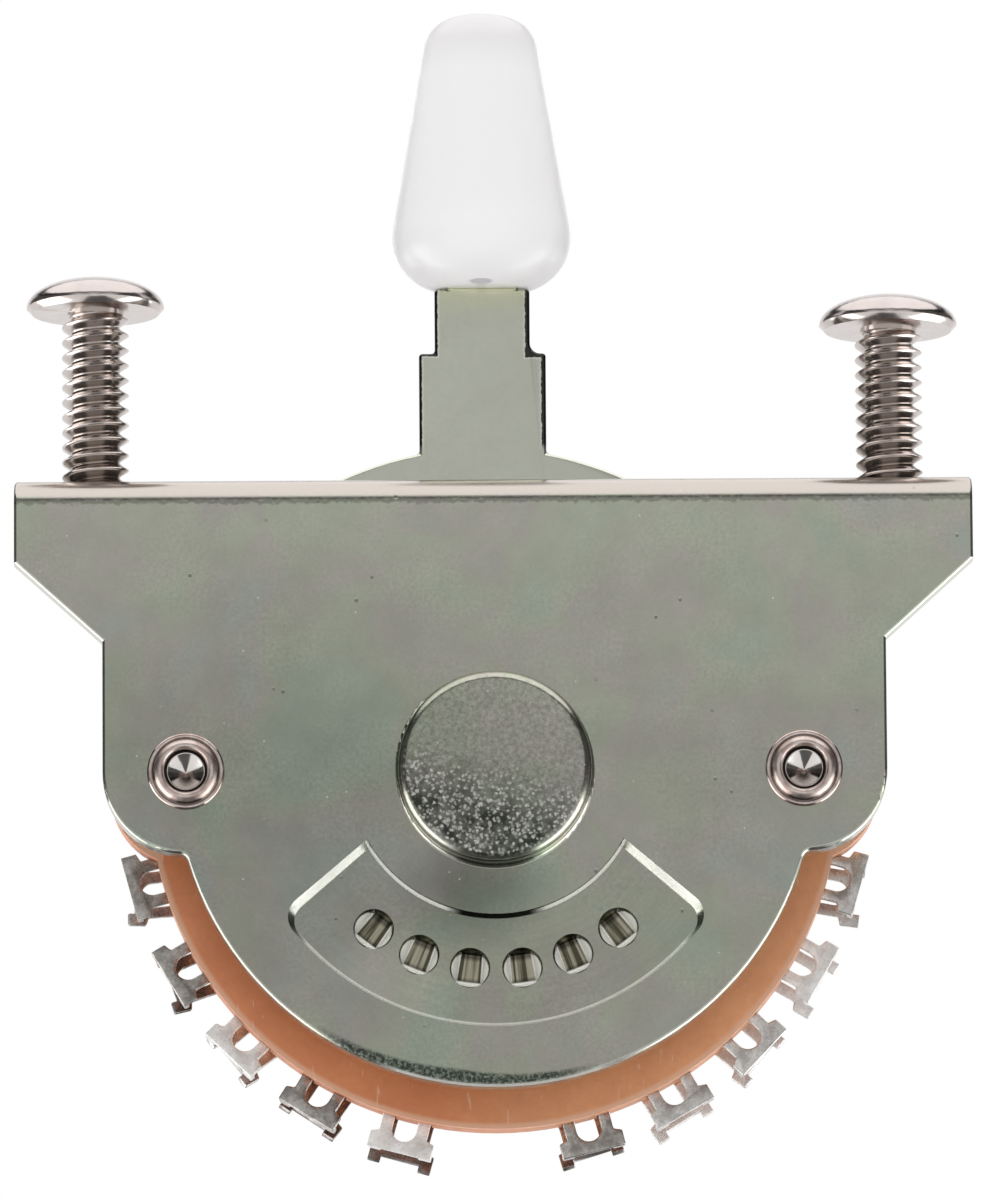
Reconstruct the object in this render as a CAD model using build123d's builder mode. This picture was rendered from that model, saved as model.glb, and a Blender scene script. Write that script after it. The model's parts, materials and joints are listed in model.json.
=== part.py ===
from build123d import *
import os
from math import cos, degrees, radians, sin, tan

os.makedirs("parts", exist_ok=True)

# Five-way, four-pole lever selector switch for a guitar, in millimetres.
# Origin: middle of the flange's top face, halfway between the two mounting screws.
# +X is to the right, +Y goes back from the front plate, +Z is up towards the lever's tip.
# A "depth" below is measured back from the front plate's front face. A height or a radius in
# the plate's plane is measured from the pivot, and angles from straight below the pivot.

# Bent sheet frame
sheet = 1.2
bend_inside = 0.3
flange_end = 4.16
flange_depth = 12.0
flange_corner = 1.5
pivot_drop = 15.5
shoulder_height = 11.0
neck_height = 6.85
lower_radius = 16.5
ear_radius = 4.3
notch_fillet = 0.5
edge_break = 0.2
screw_spacing = 41.28
screw_setback = 4.0
slot_width = 2.2
slot_end_clearance = 0.7

# Round boss drawn forward round the pivot
boss_radius = 5.0
boss_rise = 1.5
boss_wall = 1.1
boss_edge = 0.55
boss_root = 0.2

# Sunk window below the boss, with one dimple between each two lever positions and one outside
window_inner = 7.7
window_outer = 13.2
window_inner_half_angle = 58.5
window_outer_half_angle = 54.5
window_sink = 0.45
window_lip = 0.18
window_side_lip = 0.4
window_corner = 1.0
position_count = 5
position_step = 15.0
dimple_circle = 10.35
dimple_mouth = 1.05
dimple_length = 1.55
dimple_width = 1.25
dimple_depth = 0.7
bump_base = 1.0
bump_top = 0.5

# Wafers of brown board, one behind the other, and the rivets and tubes that hold them
rivet_inset = 1.96
rivet_shank = 1.2
rivet_clearance = 0.05
rivet_flange = 2.0
rivet_flange_height = 0.2
rivet_ring = 1.72
rivet_ring_height = 0.5
rivet_mouth = 1.15
rivet_cone_depth = 1.1
rivet_tail_height = 0.6
tube_radius = 2.3
wafer_thickness = 1.6
front_wafer_radius = 17.9
front_wafer_ear = 4.0
rear_wafer_radius = 17.0
rear_wafer_ear = 3.1
wafer_top = 11.5
wafer_corner = 2.0
front_wafer_depth = 5.4
wafer_pitch = 4.8

# Turning shaft, rotors and their contact blades
running_gap = 0.07
key_gap = 0.04
journal_radius = 3.7
journal_end_gap = 0.1
collar_radius = 4.4
collar_length = 1.4
shaft_radius = 2.6
shaft_half_flat = 1.7
shaft_overhang = 0.9
clip_radius = 3.7
clip_thickness = 0.4
clip_groove = 0.45
clip_mouth = 2.6
clip_side_gap = 0.05
rotor_rim = 0.28
rotor_hub = 4.0
rotor_hub_proud = 0.55
seat_gap = 0.05
sleeve_radius = 3.5
blade_thickness = 0.25
blade_outer = 7.5
blade_band = 2.1
tongue_reach = 1.15
tongue_half_angle = 6.0
blade_peg = 0.35
blade_peg_inset = 0.55
blade_peg_height = 0.4

# Sheet lever with its fan, and the moulded tip
lever_thickness = 1.2
lever_side_set = -0.5
lever_hub = 6.3
fan_radius = 17.6
fan_half_angle = 36.0
fan_root_fillet = 1.0
stem_width = 6.6
shoulder_top = 22.6
shoulder_fillet = 0.55
neck_width = 4.95
tang_width = 3.6
tang_length = 9.5
tail_width = 5.0
tail_reach = 8.3
tip_start = 26.05
tip_height = 14.7
tip_foot_width = 4.9
tip_widest = 9.2
tip_widest_height = 3.3
tip_crown_width = 5.9
tip_crown_height = 12.9
tip_flatness = 0.7
tip_slot_gap = 0.08

# Leaf spring with a formed nose that drops between the frame's bumps
leaf_thickness = 0.35
leaf_width = 3.4
leaf_nose_width = 2.4
leaf_end_overhang = 1.5
leaf_bend_gap = 0.8
nose_radius = 0.64
nose_gap = 0.1
bump_gap = 0.1
leaf_rivet = 0.6
leaf_rivet_head = 1.1
leaf_rivet_head_height = 0.35
leaf_rivet_circle = 6.5

# Solder lugs, spread round each wafer
lug_sheet = 0.3
throw_count = 5
common_angle = 105.0
contact_gap = 0.03
throw_finger_lap = 0.75
common_finger_lap = 0.8
finger_width = 1.3
finger_root = 12.4
finger_rise_start = 10.1
finger_rise_end = 9.5
lug_width = 2.5
eye_width = 1.3
eye_start = 16.6
eye_end = 19.05
wing_width = 3.35
wing_start = 18.7
wing_rise = 0.15
lug_end = 19.8
folded_end = 19.65
foot_width = 0.66
foot_height = 0.36
foot_fold = 0.9
leg_inset = 0.75
leg_bend_start = 16.95
leg_bend_end = 17.5
notch_side_gap = 0.06
notch_floor_gap = 0.1
tab_circle = 13.5
tab_width = 1.2
tab_hook = 1.1
tab_gap = 0.06

# Binding-head machine screws, left loose in the flange
screw_radius = 1.75
screw_hole_gap = 0.05
screw_length = 12.7
screw_neck_radius = 1.45
screw_neck_length = 0.45
screw_point = 0.4
head_radius = 3.58
head_rim = 0.3
head_height = 1.83
head_underside = 3.3
cross_length = 3.5
cross_width = 0.8
cross_depth = 1.1
cross_taper = 12.0
left_screw_lift = 9.4
right_screw_lift = 8.27

# Places that follow from the sizes above
flange_width = screw_spacing + 2 * flange_end
rivet_reach = front_wafer_radius - rivet_inset
blade_inner = blade_outer - blade_band
blade_peg_circle = blade_inner + blade_peg_inset
tongue_outer = blade_outer + tongue_reach
rotor_radius = tongue_outer + rotor_rim
throw_finger = tongue_outer - throw_finger_lap
common_finger = blade_outer - common_finger_lap
bend_outside = bend_inside + sheet
lever_depth = screw_setback - lever_thickness / 2
lever_back = lever_depth + lever_thickness
window_back = sheet + window_sink
bump_height = dimple_depth
bump_peak = window_back + bump_height
travel = position_step * (position_count - 1) / 2
slot_reach = (
    pivot_drop * tan(radians(travel))
    + (stem_width / 2 + abs(lever_side_set)) / cos(radians(travel))
    + slot_end_clearance
)
wafer_hole = rotor_radius + running_gap
rear_wafer_depth = front_wafer_depth + wafer_pitch
rear_hub_back = rear_wafer_depth + wafer_thickness + rotor_hub_proud
clip_front = rear_hub_back + seat_gap
shaft_end = clip_front + clip_thickness + shaft_overhang
stack_back = rear_wafer_depth + wafer_thickness
throw_angles = [position_step * (i + 1) for i in range(throw_count)]
middle_throw = throw_angles[throw_count // 2]
lug_angles = throw_angles + [common_angle]
pivot = Axis((0, 0, -pivot_drop), (0, 1, 0))


def face_plane(depth):
    """Plane square to the pivot axis and centred on it, facing the front."""
    return Plane(
        origin=(0, depth - screw_setback, -pivot_drop), x_dir=(1, 0, 0), z_dir=(0, -1, 0)
    )


def turning_plane(x):
    """Plane through a line parallel to the pivot axis: radius to the right, depth upwards."""
    return Plane(origin=(x, -screw_setback, -pivot_drop), x_dir=(1, 0, 0), z_dir=(0, 0, 1))


def keyed_face(depth, grow):
    """Round shaft section with two flats, grown all round by a clearance."""
    with BuildSketch(face_plane(depth)) as section:
        Circle(shaft_radius + grow)
        Rectangle(
            2 * (shaft_half_flat + grow), 3 * (shaft_radius + grow), mode=Mode.INTERSECT
        )
    return section.sketch


def window_face(depth, lip, side_lip):
    """The curved window's outline, grown by the width of its sloping walls."""
    inner_half = window_inner_half_angle + degrees(side_lip / window_inner)
    outer_half = window_outer_half_angle + degrees(side_lip / window_outer)
    with BuildSketch(face_plane(depth)) as section:
        with BuildLine():
            inner = CenterArc((0, 0), window_inner - lip, -90 - inner_half, 2 * inner_half)
            outer = CenterArc((0, 0), window_outer + lip, -90 - outer_half, 2 * outer_half)
            Line(inner @ 0, outer @ 0)
            Line(inner @ 1, outer @ 1)
        make_face()
        fillet(section.vertices().group_by(SortBy.DISTANCE)[-1], window_corner + lip)
    return section.sketch


def ring_sector(depth, inner_radius, outer_radius, start, span):
    """Part of a flat ring, from a start angle through a span, both from straight below."""
    with BuildSketch(face_plane(depth)) as section:
        with BuildLine():
            inner = CenterArc((0, 0), inner_radius, start - 90, span)
            outer = CenterArc((0, 0), outer_radius, start - 90, span)
            Line(inner @ 0, outer @ 0)
            Line(inner @ 1, outer @ 1)
        make_face()
    return section.sketch


# Dimples: a round mouth that narrows to a small oblong floor, and the bump that each raises
dimple_angles = [position_step * (i - position_count / 2) for i in range(position_count + 1)]

with BuildPart() as dimple:
    with BuildSketch(face_plane(window_sink)):
        with Locations((0, -dimple_circle)):
            Circle(dimple_mouth)
    with BuildSketch(face_plane(window_sink + dimple_depth)):
        with Locations((0, -dimple_circle)):
            Rectangle(dimple_width, dimple_length)
    loft()

with BuildPart() as bump:
    with BuildSketch(face_plane(window_back)):
        with Locations((0, -dimple_circle)):
            Circle(bump_base)
    with BuildSketch(face_plane(bump_peak)):
        with Locations((0, -dimple_circle)):
            Circle(bump_top)
    loft()

# Frame: the L section carried across the width, then trimmed to the outline seen from the front
with BuildPart() as frame:
    plate_foot = -pivot_drop - lower_radius
    with BuildSketch(Plane.YZ):
        with BuildLine():
            FilletPolyline(
                (-screw_setback, plate_foot),
                (-screw_setback, 0),
                (flange_depth - screw_setback, 0),
                radius=bend_outside,
            )
            Line((flange_depth - screw_setback, 0), (flange_depth - screw_setback, -sheet))
            FilletPolyline(
                (flange_depth - screw_setback, -sheet),
                (sheet - screw_setback, -sheet),
                (sheet - screw_setback, plate_foot),
                radius=bend_inside,
            )
            Line((sheet - screw_setback, plate_foot), (-screw_setback, plate_foot))
        make_face()
    extrude(amount=flange_width / 2, both=True)

    with BuildSketch(face_plane(0)) as outline:
        Circle(lower_radius)
        Rectangle(
            3 * lower_radius,
            2 * lower_radius,
            align=(Align.CENTER, Align.MIN),
            mode=Mode.SUBTRACT,
        )
        with Locations((-rivet_reach, 0), (rivet_reach, 0)):
            Circle(ear_radius)
        notches = outline.vertices().filter_by_position(Axis.Y, -lower_radius, -sheet)
        fillet(notches, notch_fillet)
        with BuildLine():
            neck = rivet_reach + ear_radius
            Polyline(
                (0, 0),
                (neck, 0),
                (neck, neck_height),
                (flange_width / 2, shoulder_height),
                (flange_width / 2, pivot_drop + sheet),
                (0, pivot_drop + sheet),
            )
            mirror(about=Plane.YZ)
        make_face()
    extrude(amount=flange_depth + sheet, both=True, mode=Mode.INTERSECT)

    back_corners = frame.edges().filter_by(Axis.Z).group_by(Axis.Y)[-1]
    fillet(back_corners, flange_corner)
    front = frame.faces().filter_by(Axis.Y).sort_by(Axis.Y)[0]
    rim = front.outer_wire().edges().filter_by_position(
        Axis.Z, plate_foot, -bend_outside - sheet / 10
    )
    fillet(rim, edge_break)

    with BuildSketch(face_plane(0)):
        Circle(boss_radius)
    extrude(amount=boss_rise)
    boss_rim = frame.faces().filter_by(Axis.Y).sort_by(Axis.Y)[0].edges()
    fillet(boss_rim, boss_edge)
    plate_circles = frame.edges().filter_by_position(
        Axis.Y, -screw_setback - boss_root, -screw_setback + boss_root
    )
    fillet(plate_circles.filter_by(lambda edge: edge.is_closed), boss_root)
    with BuildSketch(face_plane(sheet)):
        Circle(journal_radius + running_gap)
    extrude(amount=sheet + boss_rise - boss_wall, mode=Mode.SUBTRACT)

    loft(
        [window_face(sheet, window_lip, window_side_lip), window_face(window_back, 0, 0)]
    )
    loft(
        [window_face(0, window_lip, window_side_lip), window_face(window_sink, 0, 0)],
        mode=Mode.SUBTRACT,
    )
    for angle in dimple_angles:
        add(bump.part.rotate(pivot, angle))
        add(dimple.part.rotate(pivot, angle), mode=Mode.SUBTRACT)

    with BuildSketch(face_plane(0)):
        with Locations((-rivet_reach, 0), (rivet_reach, 0)):
            Circle(rivet_shank + rivet_clearance)
    extrude(amount=-sheet, mode=Mode.SUBTRACT)
    with BuildSketch(Plane.XY):
        with Locations((-screw_spacing / 2, 0), (screw_spacing / 2, 0)):
            Circle(screw_radius + screw_hole_gap)
        SlotOverall(2 * slot_reach, slot_width)
    extrude(amount=-sheet, mode=Mode.SUBTRACT)

frame.part.label = "frame"
export_step(frame.part, "parts/frame.step")

# Mounting screws: domed binding head with a cross recess, short neck, plain shank
for side, x, lift in (
    ("left", -screw_spacing / 2, left_screw_lift),
    ("right", screw_spacing / 2, right_screw_lift),
):
    with BuildPart() as screw:
        with BuildSketch(Plane(origin=(x, 0, lift), x_dir=(1, 0, 0), z_dir=(0, -1, 0))):
            with BuildLine():
                Polyline(
                    (0, head_height),
                    (0, -screw_length),
                    (screw_radius - screw_point, -screw_length),
                    (screw_radius, screw_point - screw_length),
                    (screw_radius, -screw_neck_length - screw_radius + screw_neck_radius),
                    (screw_neck_radius, -screw_neck_length),
                    (screw_neck_radius, 0),
                    (head_underside, 0),
                    (head_radius, head_rim),
                )
                EllipticalCenterArc(
                    (0, head_rim), head_radius, head_height - head_rim, arc_size=90.0
                )
            make_face()
        revolve(axis=Axis((x, 0, 0), (0, 0, 1)))
        with BuildSketch(Plane(origin=(x, 0, lift + head_height))):
            Rectangle(cross_length, cross_width)
            Rectangle(cross_width, cross_length)
        extrude(amount=-cross_depth, taper=cross_taper, mode=Mode.SUBTRACT)
    screw.part.label = f"mounting_screw_{side}"
    export_step(screw.part, f"parts/mounting_screw_{side}.step")

# Lever: hub, fan that closes the slot, stem, tang inside the tip, and tail that carries the leaf
with BuildPart() as lever:
    with BuildSketch(face_plane(lever_depth)) as outline:
        with BuildLine():
            arc = CenterArc(
                (lever_side_set, 0), fan_radius, 90 - fan_half_angle, 2 * fan_half_angle
            )
            Line((0, 0), arc @ 0)
            Line((0, 0), arc @ 1)
        make_face()
        Circle(lever_hub)
        fan_roots = outline.vertices().group_by(SortBy.DISTANCE)[0]
        fillet(fan_roots, fan_root_fillet)
        with Locations((lever_side_set, 0)):
            Rectangle(stem_width, shoulder_top, align=(Align.CENTER, Align.MIN))
            Rectangle(neck_width, tip_start - seat_gap, align=(Align.CENTER, Align.MIN))
        shoulders = outline.vertices().filter_by_position(
            Axis.Y, shoulder_top - shoulder_fillet, shoulder_top + shoulder_fillet
        )
        fillet(shoulders.sort_by(Axis.X)[-2], shoulder_fillet)
        with Locations((lever_side_set, 0)):
            Rectangle(
                tang_width, tip_start + tang_length, align=(Align.CENTER, Align.MIN)
            )
        Rectangle(tail_width, tail_reach, align=(Align.CENTER, Align.MAX))
        tail_corners = outline.vertices().group_by(Axis.Y)[0]
        fillet(tail_corners, tail_width / 4)
        with Locations((0, -leaf_rivet_circle)):
            Circle(leaf_rivet + rivet_clearance, mode=Mode.SUBTRACT)
    extrude(amount=-lever_thickness)
    extrude(keyed_face(lever_depth, key_gap), amount=-lever_thickness, mode=Mode.SUBTRACT)

lever.part.label = "lever"
export_step(lever.part, "parts/lever.step")

# Lever tip: turned form, flattened front to back, with a blind slot for the tang
with BuildPart() as lever_tip:
    tip_base = tip_start - pivot_drop
    tip_plane = Plane(origin=(lever_side_set, 0, tip_base), x_dir=(1, 0, 0), z_dir=(0, -1, 0))
    with BuildSketch(tip_plane):
        with BuildLine():
            foot = (tip_foot_width / 2, 0)
            widest = (tip_widest / 2, tip_widest_height)
            crown = (tip_crown_width / 2, tip_crown_height)
            flank = Line(widest, crown)
            TangentArc(flank @ 0, foot, tangent=(flank % 0) * -1)
            Line(foot, (0, 0))
            Line((0, 0), (0, tip_height))
            Spline(crown, (0, tip_height), tangents=[flank % 1, (-1, 0)])
        make_face()
    revolve(axis=Axis((lever_side_set, 0, 0), (0, 0, 1)))
    scale(by=(1, tip_flatness, 1))
    with BuildSketch(Plane(origin=(lever_side_set, 0, tip_base))):
        Rectangle(tang_width + 2 * tip_slot_gap, lever_thickness + 2 * tip_slot_gap)
    extrude(amount=tang_length + tip_slot_gap, mode=Mode.SUBTRACT)

lever_tip.part.label = "lever_tip"
export_step(lever_tip.part, "parts/lever_tip.step")

# Shaft: journal in the boss, collar, then a bar with two flats through the lever and both rotors
with BuildPart() as drive_shaft:
    journal_front = boss_wall - boss_rise + journal_end_gap
    with BuildSketch(face_plane(journal_front)):
        Circle(journal_radius)
    extrude(amount=-(lever_depth - journal_front))
    with BuildSketch(face_plane(lever_depth)):
        Circle(collar_radius)
    extrude(amount=collar_length)
    extrude(keyed_face(lever_depth, 0), amount=-(shaft_end - lever_depth))
    with BuildSketch(face_plane(clip_front - clip_side_gap)):
        Circle(2 * shaft_radius)
        Circle(shaft_radius - clip_groove, mode=Mode.SUBTRACT)
    extrude(amount=-(clip_thickness + 2 * clip_side_gap), mode=Mode.SUBTRACT)
    chamfer(drive_shaft.faces().sort_by(Axis.Y)[-1].edges(), clip_groove / 2)

drive_shaft.part.label = "drive_shaft"
export_step(drive_shaft.part, "parts/drive_shaft.step")

# Spring clip that keeps the rotors on the shaft
with BuildPart() as shaft_clip:
    with BuildSketch(face_plane(clip_front)):
        Circle(clip_radius)
        Circle(shaft_radius - clip_groove + key_gap, mode=Mode.SUBTRACT)
        Rectangle(
            clip_mouth, 2 * clip_radius, align=(Align.CENTER, Align.MAX), mode=Mode.SUBTRACT
        )
    extrude(amount=-clip_thickness)

shaft_clip.part.label = "shaft_clip"
export_step(shaft_clip.part, "parts/shaft_clip.step")

# Sleeve between the two rotors
with BuildPart() as rotor_sleeve:
    sleeve_front = front_wafer_depth + wafer_thickness + rotor_hub_proud + seat_gap
    sleeve_length = wafer_pitch - wafer_thickness - 2 * (rotor_hub_proud + seat_gap)
    with BuildSketch(face_plane(sleeve_front)):
        Circle(sleeve_radius)
        Circle(shaft_radius + key_gap, mode=Mode.SUBTRACT)
    extrude(amount=-sleeve_length)

rotor_sleeve.part.label = "rotor_sleeve"
export_step(rotor_sleeve.part, "parts/rotor_sleeve.step")

# Leaf spring: flat where it is riveted to the lever's tail, then sprung forward to its nose
with BuildPart() as detent_spring:
    leaf_back = lever_depth
    nose_back = bump_peak + bump_gap + leaf_thickness
    leaf_start = collar_radius + running_gap
    leaf_flat_end = leaf_rivet_circle + leaf_rivet_head + running_gap
    leaf_end = dimple_circle + leaf_end_overhang
    side_plane = Plane(
        origin=(0, -screw_setback, -pivot_drop), x_dir=(0, 0, -1), z_dir=(1, 0, 0)
    )
    with BuildSketch(side_plane):
        with BuildLine():
            Polyline(
                (leaf_start, leaf_back),
                (leaf_flat_end, leaf_back),
                (leaf_flat_end + leaf_bend_gap, nose_back),
                (leaf_end, nose_back),
                (leaf_end, nose_back - leaf_thickness),
                (leaf_flat_end + leaf_bend_gap, nose_back - leaf_thickness),
                (leaf_flat_end, leaf_back - leaf_thickness),
                (leaf_start, leaf_back - leaf_thickness),
                close=True,
            )
        make_face()
    extrude(amount=leaf_width / 2, both=True)
    with BuildSketch(face_plane(0)):
        with BuildLine():
            Polyline(
                (leaf_width / 2, -leaf_start),
                (leaf_width / 2, -leaf_flat_end),
                (leaf_nose_width / 2, -dimple_circle),
                (leaf_nose_width / 2, -leaf_end),
                (-leaf_nose_width / 2, -leaf_end),
                (-leaf_nose_width / 2, -dimple_circle),
                (-leaf_width / 2, -leaf_flat_end),
                (-leaf_width / 2, -leaf_start),
                close=True,
            )
        make_face()
        with Locations((0, -leaf_rivet_circle)):
            Circle(leaf_rivet + rivet_clearance, mode=Mode.SUBTRACT)
    extrude(amount=-lever_back, mode=Mode.INTERSECT)
    nose_front = window_back + nose_gap
    nose_seat = nose_back - leaf_thickness
    with BuildSketch(
        Plane(
            origin=(0, -screw_setback, -pivot_drop - dimple_circle),
            x_dir=(1, 0, 0),
            z_dir=(0, 0, 1),
        )
    ):
        with BuildLine():
            Line((0, nose_seat + leaf_thickness / 2), (0, nose_front))
            Spline(
                (0, nose_front), (nose_radius, nose_seat), tangents=[(1, 0), (0, 1)]
            )
            Line((nose_radius, nose_seat), (nose_radius, nose_seat + leaf_thickness / 2))
            Line(
                (nose_radius, nose_seat + leaf_thickness / 2),
                (0, nose_seat + leaf_thickness / 2),
            )
        make_face()
    revolve(axis=Axis((0, 0, -pivot_drop - dimple_circle), (0, 1, 0)))

detent_spring.part.label = "detent_spring"
export_step(detent_spring.part, "parts/detent_spring.step")

# Rivet that holds the leaf to the lever's tail
with BuildPart() as spring_rivet:
    leaf_front = lever_depth - leaf_thickness
    with BuildSketch(face_plane(leaf_front)):
        with Locations((0, -leaf_rivet_circle)):
            Circle(leaf_rivet_head)
    extrude(amount=leaf_rivet_head_height)
    with BuildSketch(face_plane(leaf_front)):
        with Locations((0, -leaf_rivet_circle)):
            Circle(leaf_rivet)
    extrude(amount=-(lever_back - leaf_front))
    with BuildSketch(face_plane(lever_back)):
        with Locations((0, -leaf_rivet_circle)):
            Circle(leaf_rivet_head)
    extrude(amount=-leaf_rivet_head_height)

spring_rivet.part.label = "spring_rivet"
export_step(spring_rivet.part, "parts/spring_rivet.step")

# Rivets through the ears: rolled ring and cone at the front, domed tail behind
for side, x in (("left", -rivet_reach), ("right", rivet_reach)):
    with BuildPart() as rivet:
        with BuildSketch(turning_plane(x)):
            with BuildLine():
                crest = (rivet_ring + rivet_mouth) / 2
                ring = ThreePointArc(
                    (rivet_mouth, -rivet_flange_height),
                    (crest, -rivet_ring_height),
                    (rivet_ring, -rivet_flange_height),
                )
                Polyline(
                    ring @ 1,
                    (rivet_flange, -rivet_flange_height),
                    (rivet_flange, 0),
                    (rivet_shank, 0),
                    (rivet_shank, stack_back),
                    (rivet_flange, stack_back),
                )
                RadiusArc(
                    (rivet_flange, stack_back),
                    (0, stack_back + rivet_tail_height),
                    -(rivet_flange**2 + rivet_tail_height**2) / (2 * rivet_tail_height),
                )
                Polyline(
                    (0, stack_back + rivet_tail_height),
                    (0, rivet_cone_depth - rivet_flange_height),
                    ring @ 0,
                )
            make_face()
        revolve(axis=Axis((x, 0, -pivot_drop), (0, 1, 0)))
    rivet.part.label = f"rivet_{side}"
    export_step(rivet.part, f"parts/rivet_{side}.step")

# Spacer tubes: frame to front wafer, and front wafer to rear wafer
for layer, start, stop in (
    ("front", sheet, front_wafer_depth),
    ("rear", front_wafer_depth + wafer_thickness, rear_wafer_depth),
):
    for side, x in (("left", -rivet_reach), ("right", rivet_reach)):
        with BuildPart() as spacer:
            with BuildSketch(face_plane(start)):
                with Locations((x, 0)):
                    Circle(tube_radius)
                    Circle(rivet_shank + rivet_clearance, mode=Mode.SUBTRACT)
            extrude(amount=start - stop)
        spacer.part.label = f"{layer}_spacer_{side}"
        export_step(spacer.part, f"parts/{layer}_spacer_{side}.step")


def lug_plane(angle):
    """Front-facing plane on the pivot, with its first direction out along a lug."""
    a = radians(angle)
    return Plane(
        origin=(0, -screw_setback, -pivot_drop), x_dir=(sin(a), 0, -cos(a)), z_dir=(0, -1, 0)
    )


# Wafers: round board with a flat top, ears, rotor hole, tab slits and rim notches for the legs
for layer, depth, wafer_radius, wafer_ear in (
    ("front", front_wafer_depth, front_wafer_radius, front_wafer_ear),
    ("rear", rear_wafer_depth, rear_wafer_radius, rear_wafer_ear),
):
    with BuildPart() as wafer:
        with BuildSketch(face_plane(depth)) as board:
            Circle(wafer_radius)
            with Locations((0, wafer_top)):
                Rectangle(
                    3 * wafer_radius,
                    wafer_radius,
                    align=(Align.CENTER, Align.MIN),
                    mode=Mode.SUBTRACT,
                )
            fillet(board.vertices().group_by(Axis.Y)[-1], wafer_corner)
            with Locations((-rivet_reach, 0), (rivet_reach, 0)):
                Circle(wafer_ear)
                Circle(rivet_shank + rivet_clearance, mode=Mode.SUBTRACT)
            Circle(wafer_hole, mode=Mode.SUBTRACT)
        extrude(amount=-wafer_thickness)
        leg_middle = (lug_width + eye_width) / 4
        leg_width = (lug_width - eye_width) / 2
        notch_start = leg_bend_start - lug_sheet
        for angle in lug_angles:
            for turn in (angle, -angle):
                with BuildSketch(lug_plane(turn).offset(-depth)):
                    with Locations((tab_circle + lug_sheet / 2, 0)):
                        Rectangle(lug_sheet + 2 * tab_gap, tab_width + 2 * tab_gap)
                extrude(amount=-wafer_thickness, mode=Mode.SUBTRACT)
                with BuildSketch(lug_plane(turn).offset(-depth - wafer_thickness)):
                    with Locations((notch_start, -leg_middle), (notch_start, leg_middle)):
                        Rectangle(
                            wafer_radius,
                            leg_width + 2 * notch_side_gap,
                            align=(Align.MIN, Align.CENTER),
                        )
                extrude(amount=leg_inset + notch_floor_gap, mode=Mode.SUBTRACT)
    wafer.part.label = f"{layer}_wafer"
    export_step(wafer.part, f"parts/{layer}_wafer.step")

# Rotors: a disc that turns inside each wafer, with a hub each side and pegs for its two blades
for layer, depth in (("front", front_wafer_depth), ("rear", rear_wafer_depth)):
    with BuildPart() as rotor:
        with BuildSketch(face_plane(depth)):
            Circle(rotor_radius)
        extrude(amount=-wafer_thickness)
        with BuildSketch(face_plane(depth - rotor_hub_proud)):
            Circle(rotor_hub)
        extrude(amount=-(wafer_thickness + 2 * rotor_hub_proud))
        with BuildSketch(face_plane(depth + wafer_thickness)):
            for angle in (middle_throw, common_angle):
                with PolarLocations(blade_peg_circle, 1, start_angle=angle - 90):
                    Circle(blade_peg)
                with PolarLocations(blade_peg_circle, 1, start_angle=-angle - 90):
                    Circle(blade_peg)
        extrude(amount=-blade_peg_height)
        extrude(
            keyed_face(depth - rotor_hub_proud, key_gap),
            amount=-(wafer_thickness + 2 * rotor_hub_proud),
            mode=Mode.SUBTRACT,
        )
    rotor.part.label = f"{layer}_rotor"
    export_step(rotor.part, f"parts/{layer}_rotor.step")

# Contact blades: a ring under the common finger, with one tongue that reaches the throw fingers
blade_start = middle_throw - tongue_half_angle
blade_span = common_angle + travel + tongue_half_angle - blade_start
for layer, depth in (
    ("front", front_wafer_depth + wafer_thickness),
    ("rear", rear_wafer_depth + wafer_thickness),
):
    for side, sense in (("left", -1), ("right", 1)):
        with BuildPart() as blade:
            extrude(
                ring_sector(
                    depth, blade_inner, blade_outer, sense * blade_start, sense * blade_span
                ),
                amount=-blade_thickness,
            )
            extrude(
                ring_sector(
                    depth,
                    blade_inner,
                    tongue_outer,
                    sense * blade_start,
                    sense * 2 * tongue_half_angle,
                ),
                amount=-blade_thickness,
            )
            with BuildSketch(face_plane(depth)):
                for angle in (middle_throw, common_angle):
                    with PolarLocations(blade_peg_circle, 1, start_angle=sense * angle - 90):
                        Circle(blade_peg + key_gap)
            extrude(amount=-blade_thickness, mode=Mode.SUBTRACT)
        blade.part.label = f"{layer}_blade_{side}"
        export_step(blade.part, f"parts/{layer}_blade_{side}.step")

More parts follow.
